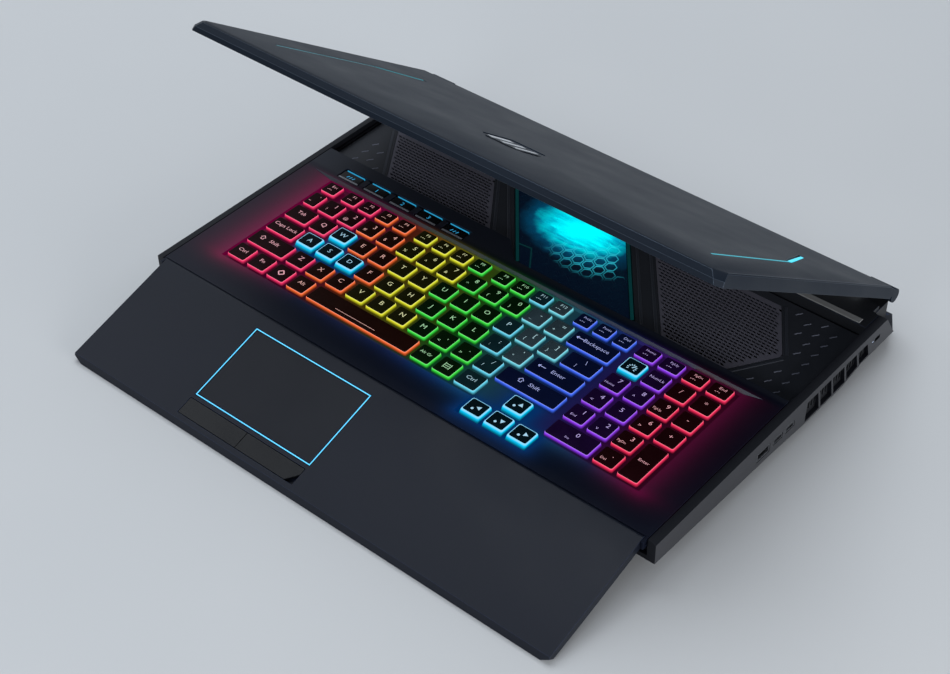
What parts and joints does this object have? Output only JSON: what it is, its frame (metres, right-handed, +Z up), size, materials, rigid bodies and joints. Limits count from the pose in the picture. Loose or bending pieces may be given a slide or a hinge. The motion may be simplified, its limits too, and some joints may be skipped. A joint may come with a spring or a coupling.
{
  "type": "gaming laptop computer",
  "caption": "Thick gaming laptop with a hinged lid, a keyboard deck that slides forward, a palm rest that tilts down to the table, and fans under grilles.",
  "frame": {"origin": "on the table, under the middle of the laptop as it stands with the deck out", "axes": "+X to the user's right, +Y to the rear, +Z up"},
  "size_m": [0.43, 0.3854, 0.1996],
  "materials": {
    "shell": "matte black painted metal",
    "lid_shell": "fine-grained black anodised metal",
    "frame": "matte black plastic",
    "deck": "soft matte dark blue-black coating",
    "foot": "black rubber",
    "grille": "black perforated sheet",
    "window": "tinted clear glass",
    "heat_pipe": "bare copper colour",
    "fan": "thin metal blades",
    "fin": "bare aluminium fins",
    "board": "dark green board",
    "battery": "black wrap",
    "hinge": "satin steel",
    "port": "plated steel",
    "keycap": "black keycap plastic lit from below",
    "keycap_lit": "clear cyan-lit keycap with a dark top",
    "light": "lit cyan light guide",
    "touchpad": "smooth dark glass",
    "screen": "dark display glass",
    "badge": "bright satin metal"
  },
  "bodies": {
    "base": {"base_frame": "frame", "battery": "battery", "bottom_cover": "shell", "cooling_window": "window", "fan_grille_left": "grille", "fan_grille_right": "grille", "fan_housing_left": "frame", "fan_housing_right": "frame", "foot_front_left": "foot", "foot_front_right": "foot", "foot_rear_left": "foot", "foot_rear_right": "foot", "heat_pipes": "heat_pipe", "heatsink_left": "fin", "heatsink_right": "fin", "hinge_bracket_left": "hinge", "hinge_bracket_right": "hinge", "intake_panel": "shell", "mainboard": "board", "rear_housing": "frame", "status_led": "light", "usb_a_port": "port", "usb_c_port_front": "port", "usb_c_port_rear": "port"},
    "deck": {"keyboard_deck": "deck", "macro_light_bar": "light"},
    "palm_rest": {"palm_rest": "deck", "touchpad": "touchpad", "touchpad_frame": "light"},
    "lid": {"lid_cover": "lid_shell", "lid_light_left": "light", "lid_light_right": "light", "lid_badge": "badge", "screen_bezel": "frame", "display_panel": "screen"},
    "fan_left": {"fan_rotor_left": "fan"},
    "fan_right": {"fan_rotor_right": "fan"},
    "touchpad_button_left": {"touchpad_button_left": "deck"},
    "touchpad_button_right": {"touchpad_button_right": "deck"},
    "macro_keys": {"macro_keys": "deck"},
    "turbo_key": {"turbo_key": "deck"},
    "key_w": {"key_w": "keycap_lit"},
    "key_a": {"key_a": "keycap_lit"},
    "key_s": {"key_s": "keycap_lit"},
    "key_d": {"key_d": "keycap_lit"},
    "key_space": {"key_space": "keycap"},
    "key_enter": {"key_enter": "keycap"},
    "key_up": {"key_up": "keycap_lit"},
    "key_down": {"key_down": "keycap_lit"},
    "key_left": {"key_left": "keycap_lit"},
    "key_right": {"key_right": "keycap_lit"},
    "mode_key": {"mode_key": "keycap_lit"},
    "keys_function_row": {"keys_function_row": "keycap"},
    "keys_number_row": {"keys_number_row": "keycap"},
    "keys_upper_row": {"keys_upper_row": "keycap"},
    "keys_home_row": {"keys_home_row": "keycap"},
    "keys_lower_row": {"keys_lower_row": "keycap"},
    "keys_bottom_row": {"keys_bottom_row": "keycap"},
    "keys_number_pad": {"keys_number_pad": "keycap"}
  },
  "joints": [
    {"name": "deck_slide", "type": "slide", "parent": "base", "child": "deck", "axis": [0, 1, 0], "range_m": [0, 0.0915]},
    {"name": "palm_tilt", "type": "hinge", "parent": "deck", "child": "palm_rest", "pos_m": [0, -0.10285, 0.02975], "axis": [1, 0, 0], "range_deg": [-16.9, 0]},
    {"name": "lid_hinge", "type": "hinge", "parent": "base", "child": "lid", "pos_m": [0, 0.18205, 0.0352], "axis": [-1, 0, 0], "range_deg": [-34.4, 100]},
    {"name": "fan_spin_left", "type": "hinge", "parent": "base", "child": "fan_left", "pos_m": [-0.124, 0.10015, 0.0142], "axis": [0, 0, 1], "continuous": true},
    {"name": "fan_spin_right", "type": "hinge", "parent": "base", "child": "fan_right", "pos_m": [0.118, 0.10015, 0.0142], "axis": [0, 0, 1], "continuous": true},
    {"name": "touchpad_button_left_press", "type": "slide", "parent": "palm_rest", "child": "touchpad_button_left", "axis": [0, 0.2907, -0.9568], "range_m": [0, 0.0009], "stiffness_N_per_m": 500, "springref_m": -0.002},
    {"name": "touchpad_button_right_press", "type": "slide", "parent": "palm_rest", "child": "touchpad_button_right", "axis": [0, 0.2907, -0.9568], "range_m": [0, 0.0009], "stiffness_N_per_m": 500, "springref_m": -0.002},
    {"name": "turbo_key_press", "type": "slide", "parent": "deck", "child": "turbo_key", "axis": [0, 0, -1], "range_m": [0, 0.0008], "stiffness_N_per_m": 500, "springref_m": -0.002},
    {"name": "macro_keys_press", "type": "slide", "parent": "deck", "child": "macro_keys", "axis": [0, 0, -1], "range_m": [0, 0.0008], "stiffness_N_per_m": 500, "springref_m": -0.002},
    {"name": "key_w_press", "type": "slide", "parent": "deck", "child": "key_w", "axis": [0, 0, -1], "range_m": [0, 0.0014], "stiffness_N_per_m": 600, "springref_m": -0.002},
    {"name": "key_a_press", "type": "slide", "parent": "deck", "child": "key_a", "axis": [0, 0, -1], "range_m": [0, 0.0014], "stiffness_N_per_m": 600, "springref_m": -0.002},
    {"name": "key_s_press", "type": "slide", "parent": "deck", "child": "key_s", "axis": [0, 0, -1], "range_m": [0, 0.0014], "stiffness_N_per_m": 600, "springref_m": -0.002},
    {"name": "key_d_press", "type": "slide", "parent": "deck", "child": "key_d", "axis": [0, 0, -1], "range_m": [0, 0.0014], "stiffness_N_per_m": 600, "springref_m": -0.002},
    {"name": "key_space_press", "type": "slide", "parent": "deck", "child": "key_space", "axis": [0, 0, -1], "range_m": [0, 0.0014], "stiffness_N_per_m": 600, "springref_m": -0.002},
    {"name": "key_enter_press", "type": "slide", "parent": "deck", "child": "key_enter", "axis": [0, 0, -1], "range_m": [0, 0.0014], "stiffness_N_per_m": 600, "springref_m": -0.002},
    {"name": "key_up_press", "type": "slide", "parent": "deck", "child": "key_up", "axis": [0, 0, -1], "range_m": [0, 0.0014], "stiffness_N_per_m": 600, "springref_m": -0.002},
    {"name": "key_down_press", "type": "slide", "parent": "deck", "child": "key_down", "axis": [0, 0, -1], "range_m": [0, 0.0014], "stiffness_N_per_m": 600, "springref_m": -0.002},
    {"name": "key_left_press", "type": "slide", "parent": "deck", "child": "key_left", "axis": [0, 0, -1], "range_m": [0, 0.0014], "stiffness_N_per_m": 600, "springref_m": -0.002},
    {"name": "key_right_press", "type": "slide", "parent": "deck", "child": "key_right", "axis": [0, 0, -1], "range_m": [0, 0.0014], "stiffness_N_per_m": 600, "springref_m": -0.002},
    {"name": "mode_key_press", "type": "slide", "parent": "deck", "child": "mode_key", "axis": [0, 0, -1], "range_m": [0, 0.0014], "stiffness_N_per_m": 600, "springref_m": -0.002},
    {"name": "keys_function_row_press", "type": "slide", "parent": "deck", "child": "keys_function_row", "axis": [0, 0, -1], "range_m": [0, 0.0014], "stiffness_N_per_m": 600, "springref_m": -0.002},
    {"name": "keys_number_row_press", "type": "slide", "parent": "deck", "child": "keys_number_row", "axis": [0, 0, -1], "range_m": [0, 0.0014], "stiffness_N_per_m": 600, "springref_m": -0.002},
    {"name": "keys_upper_row_press", "type": "slide", "parent": "deck", "child": "keys_upper_row", "axis": [0, 0, -1], "range_m": [0, 0.0014], "stiffness_N_per_m": 600, "springref_m": -0.002},
    {"name": "keys_home_row_press", "type": "slide", "parent": "deck", "child": "keys_home_row", "axis": [0, 0, -1], "range_m": [0, 0.0014], "stiffness_N_per_m": 600, "springref_m": -0.002},
    {"name": "keys_lower_row_press", "type": "slide", "parent": "deck", "child": "keys_lower_row", "axis": [0, 0, -1], "range_m": [0, 0.0014], "stiffness_N_per_m": 600, "springref_m": -0.002},
    {"name": "keys_bottom_row_press", "type": "slide", "parent": "deck", "child": "keys_bottom_row", "axis": [0, 0, -1], "range_m": [0, 0.0014], "stiffness_N_per_m": 600, "springref_m": -0.002},
    {"name": "keys_number_pad_press", "type": "slide", "parent": "deck", "child": "keys_number_pad", "axis": [0, 0, -1], "range_m": [0, 0.0014], "stiffness_N_per_m": 600, "springref_m": -0.002}
  ],
  "couplings": [
    {"joint": "palm_tilt", "follows": "deck_slide", "rad_per_m": -3.2235}
  ]
}
